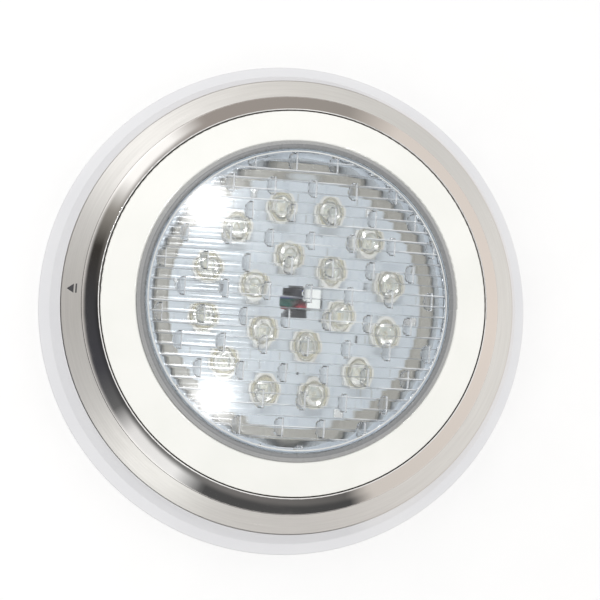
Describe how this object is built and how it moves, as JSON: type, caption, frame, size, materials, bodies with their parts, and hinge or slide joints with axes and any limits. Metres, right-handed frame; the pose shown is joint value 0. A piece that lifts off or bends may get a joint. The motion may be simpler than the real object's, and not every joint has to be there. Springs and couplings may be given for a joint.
{
  "type": "underwater pool light",
  "caption": "Round wall-mounted underwater light: flared white bracket, stainless trim ring on a lower hook, white face ring, clear ribbed lens over LED optics and a rear cable gland.",
  "frame": {"origin": "centre of the wall bracket's back face, on the wall plane", "axes": "+Z along the optical axis, away from the wall; +Y towards the top of the light, where the arrow mark and release pin are; +X to the right-hand rule"},
  "size_m": [0.295, 0.295, 0.06],
  "materials": {
    "white_abs": "glossy injection-moulded ABS",
    "shell_abs": "satin injection-moulded ABS",
    "stainless_trim": "brushed flange with a mirror-polished bevel",
    "stainless_plain": "bright rolled sheet and turned screws",
    "clear_pc": "clear moulded polycarbonate",
    "optic_clear": "clear moulded acrylic",
    "grey_silicone": "matt moulded silicone",
    "black_rubber": "matt moulded rubber",
    "pcb_white": "white solder mask over aluminium",
    "pcb_green": "green solder mask",
    "aluminium_plate": "milled",
    "beige_plastic": "satin moulded",
    "led_yellow": "phosphor in a white package",
    "chip_black": "moulded package",
    "can_aluminium": "sleeved can",
    "terminal_green": "moulded terminal block",
    "connector_white": "moulded plug",
    "lead_red_pvc": "PVC insulation",
    "lead_green_pvc": "PVC insulation",
    "lead_blue_pvc": "PVC insulation",
    "lead_black_pvc": "PVC insulation",
    "black_nylon": "glass-filled nylon",
    "brass": "turned and knurled"
  },
  "bodies": {
    "bracket": {"wall_bracket": "white_abs", "lock_sleeve": "brass", "lock_spring": "stainless_plain"},
    "lamp": {"trim_ring": "stainless_trim", "face_ring": "white_abs", "lens": "clear_pc", "lens_gasket": "grey_silicone", "rear_shell": "shell_abs", "shell_oring": "black_rubber", "shell_screws": "stainless_plain", "trim_screws": "stainless_plain", "hook_plate": "stainless_plain", "hook_bar": "stainless_plain", "hook_rivets": "stainless_plain", "led_board": "pcb_white", "heat_sink": "aluminium_plate", "led_chips": "led_yellow", "optic_holders": "beige_plastic", "led_optics": "optic_clear", "board_screws": "stainless_plain", "board_ring": "beige_plastic", "driver_board": "pcb_green", "driver_screws": "stainless_plain", "driver_capacitors": "can_aluminium", "driver_coils": "chip_black", "driver_chips": "chip_black", "terminal_block": "terminal_green", "lead_connector": "connector_white", "gland_body": "black_nylon", "gland_seal": "black_rubber", "gland_cap": "black_nylon", "gland_locknut": "black_nylon", "gland_oring": "black_rubber", "lead_red": "lead_red_pvc", "lead_green": "lead_green_pvc", "lead_blue": "lead_blue_pvc", "lead_black": "lead_black_pvc"},
    "release_pin": {"lock_pin": "stainless_plain"}
  },
  "joints": [
    {"name": "lamp_tilt", "type": "hinge", "parent": "bracket", "child": "lamp", "pos_m": [0, -0.126, 0.013], "axis": [1, 0, 0], "range_deg": [0, 20]},
    {"name": "pin_press", "type": "slide", "parent": "bracket", "child": "release_pin", "axis": [0, 1, 0], "range_m": [-0.0022, 0], "stiffness_N_per_m": 400, "springref_m": 0.004, "deforming": ["lock_spring"]}
  ]
}
